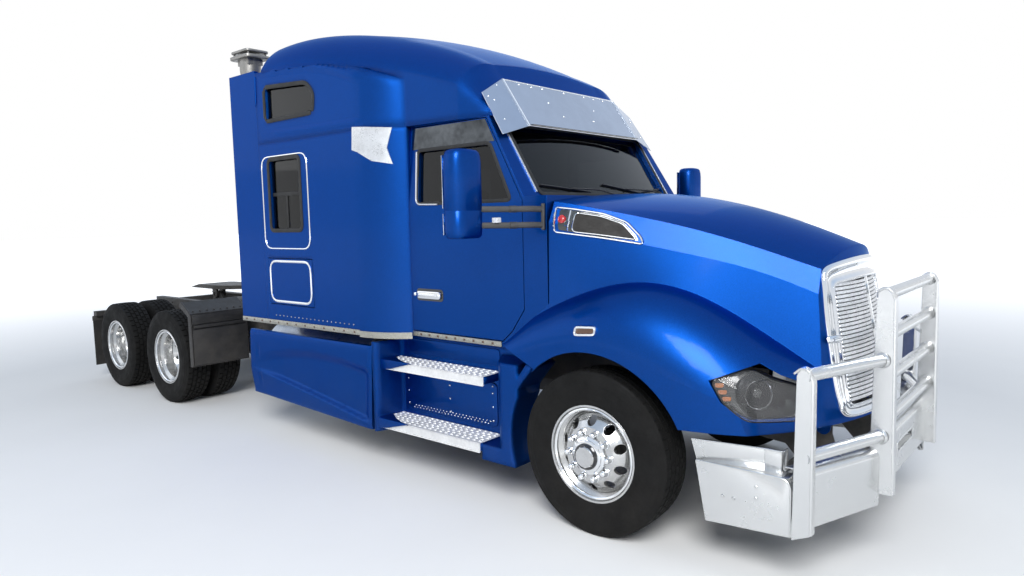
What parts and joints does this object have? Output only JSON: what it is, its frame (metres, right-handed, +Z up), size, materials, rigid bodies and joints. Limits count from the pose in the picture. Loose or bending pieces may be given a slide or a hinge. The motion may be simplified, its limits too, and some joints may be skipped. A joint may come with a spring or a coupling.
{
  "type": "road tractor",
  "caption": "Conventional road tractor with a high-roof sleeper, tilting bonnet and front guard, steered front wheels, driven twin wheels and a coupling plate.",
  "frame": {"origin": "middle of the bounding box's bottom, on the ground", "axes": "+X forward, +Y to the vehicle's left, +Z up"},
  "size_m": [9.15, 3.25, 3.6134],
  "materials": {
    "body_paint": "gloss",
    "chassis_paint": "satin",
    "cast_parts": "rough",
    "coupling_iron": "greased",
    "aluminium": "satin",
    "polished_aluminium": "polished",
    "polished_steel": "mirror polished",
    "grille_steel": "polished",
    "black_plastic": "matt",
    "cab_plastic": "matt",
    "flap_rubber": "matt",
    "seat_cloth": "woven",
    "window_glass": "tinted",
    "lamp_lens": "clear",
    "tyre": "matt"
  },
  "bodies": {
    "root": {"axles": "cast_parts", "frame": "chassis_paint", "suspension": "chassis_paint", "engine_block": "cast_parts", "radiator": "aluminium", "fuel_tanks": "aluminium", "side_fairings": "body_paint", "steps": "body_paint", "quarter_fenders": "black_plastic", "lamp_bar": "chassis_paint", "mudflaps": "flap_rubber", "deck": "aluminium", "fifth_wheel_base": "chassis_paint", "cab_shell": "body_paint", "sleeper_shell": "body_paint", "roof_cap": "body_paint", "side_extenders": "body_paint", "cab_glass": "window_glass", "dashboard": "cab_plastic", "seats_and_bunk": "seat_cloth", "sun_visor": "polished_steel", "mirrors": "body_paint", "exhaust_stack": "polished_steel", "bumper_ends": "polished_aluminium"},
    "hood": {"hood": "body_paint", "grille_surround": "polished_steel", "grille_bars": "grille_steel", "headlamps": "lamp_lens"},
    "front_guard": {"guard_uprights": "polished_aluminium", "guard_tubes": "polished_aluminium", "guard_face": "polished_aluminium", "guard_arms": "polished_aluminium"},
    "tie_rod": {"tie_rod": "cast_parts"},
    "fifth_wheel": {"fifth_wheel_plate": "coupling_iron"},
    "door_right": {"door_right": "body_paint", "door_glass_right": "window_glass"},
    "luggage_right": {"luggage_door_right": "body_paint"},
    "knuckle_right": {"knuckle_right": "cast_parts"},
    "front_wheel_right": {"front_tyre_right": "tyre", "front_rim_right": "polished_aluminium"},
    "drive_wheels_1_right": {"drive_tyres_1_right": "tyre", "drive_rims_1_right": "polished_aluminium"},
    "drive_wheels_2_right": {"drive_tyres_2_right": "tyre", "drive_rims_2_right": "polished_aluminium"},
    "door_left": {"door_left": "body_paint", "door_glass_left": "window_glass"},
    "luggage_left": {"luggage_door_left": "body_paint"},
    "knuckle_left": {"knuckle_left": "cast_parts"},
    "front_wheel_left": {"front_tyre_left": "tyre", "front_rim_left": "polished_aluminium"},
    "drive_wheels_1_left": {"drive_tyres_1_left": "tyre", "drive_rims_1_left": "polished_aluminium"},
    "drive_wheels_2_left": {"drive_tyres_2_left": "tyre", "drive_rims_2_left": "polished_aluminium"}
  },
  "joints": [
    {"name": "hood_tilt", "type": "hinge", "parent": "root", "child": "hood", "pos_m": [4.195, 0, 0.7], "axis": [0, 1, 0], "range_deg": [0, 55]},
    {"name": "guard_tilt", "type": "hinge", "parent": "root", "child": "front_guard", "pos_m": [4.275, 0, 0.32], "axis": [0, 1, 0], "range_deg": [0, 77]},
    {"name": "steer_right", "type": "hinge", "parent": "root", "child": "knuckle_right", "pos_m": [3.075, -0.87, 0.507], "axis": [0, 0, 1], "range_deg": [-35, 35]},
    {"name": "steer_left", "type": "hinge", "parent": "root", "child": "knuckle_left", "pos_m": [3.075, 0.87, 0.507], "axis": [0, 0, 1], "range_deg": [-35, 35]},
    {"name": "tie_rod_pivot", "type": "hinge", "parent": "knuckle_right", "child": "tie_rod", "pos_m": [2.875, -0.87, 0.387], "axis": [0, 0, 1], "range_deg": [-35, 35]},
    {"name": "fifth_wheel_rock", "type": "hinge", "parent": "root", "child": "fifth_wheel", "pos_m": [-2.825, 0, 1.105], "axis": [0, 1, 0], "range_deg": [-10, 12]},
    {"name": "door_right_swing", "type": "hinge", "parent": "root", "child": "door_right", "pos_m": [2.478, -1.051, 1.5], "axis": [0, 0, 1], "range_deg": [0, 55]},
    {"name": "luggage_right_swing", "type": "hinge", "parent": "root", "child": "luggage_right", "pos_m": [0.358, -1.221, 1.43], "axis": [0, 0, 1], "range_deg": [0, 90]},
    {"name": "front_wheel_right_spin", "type": "hinge", "parent": "knuckle_right", "child": "front_wheel_right", "pos_m": [3.075, -1.05, 0.507], "axis": [0, 1, 0], "continuous": true},
    {"name": "drive_wheels_1_right_spin", "type": "hinge", "parent": "root", "child": "drive_wheels_1_right", "pos_m": [-2.47, -0.9285, 0.507], "axis": [0, 1, 0], "continuous": true},
    {"name": "drive_wheels_2_right_spin", "type": "hinge", "parent": "root", "child": "drive_wheels_2_right", "pos_m": [-3.79, -0.9285, 0.507], "axis": [0, 1, 0], "continuous": true},
    {"name": "door_left_swing", "type": "hinge", "parent": "root", "child": "door_left", "pos_m": [2.478, 1.051, 1.5], "axis": [0, 0, -1], "range_deg": [0, 55]},
    {"name": "luggage_left_swing", "type": "hinge", "parent": "root", "child": "luggage_left", "pos_m": [0.358, 1.221, 1.43], "axis": [0, 0, -1], "range_deg": [0, 90]},
    {"name": "front_wheel_left_spin", "type": "hinge", "parent": "knuckle_left", "child": "front_wheel_left", "pos_m": [3.075, 1.05, 0.507], "axis": [0, 1, 0], "continuous": true},
    {"name": "drive_wheels_1_left_spin", "type": "hinge", "parent": "root", "child": "drive_wheels_1_left", "pos_m": [-2.47, 0.9285, 0.507], "axis": [0, 1, 0], "continuous": true},
    {"name": "drive_wheels_2_left_spin", "type": "hinge", "parent": "root", "child": "drive_wheels_2_left", "pos_m": [-3.79, 0.9285, 0.507], "axis": [0, 1, 0], "continuous": true}
  ],
  "couplings": [
    {"joint": "guard_tilt", "follows": "hood_tilt", "ratio": 1.4},
    {"joint": "steer_left", "follows": "steer_right", "ratio": 1},
    {"joint": "tie_rod_pivot", "follows": "steer_right", "ratio": -1}
  ]
}
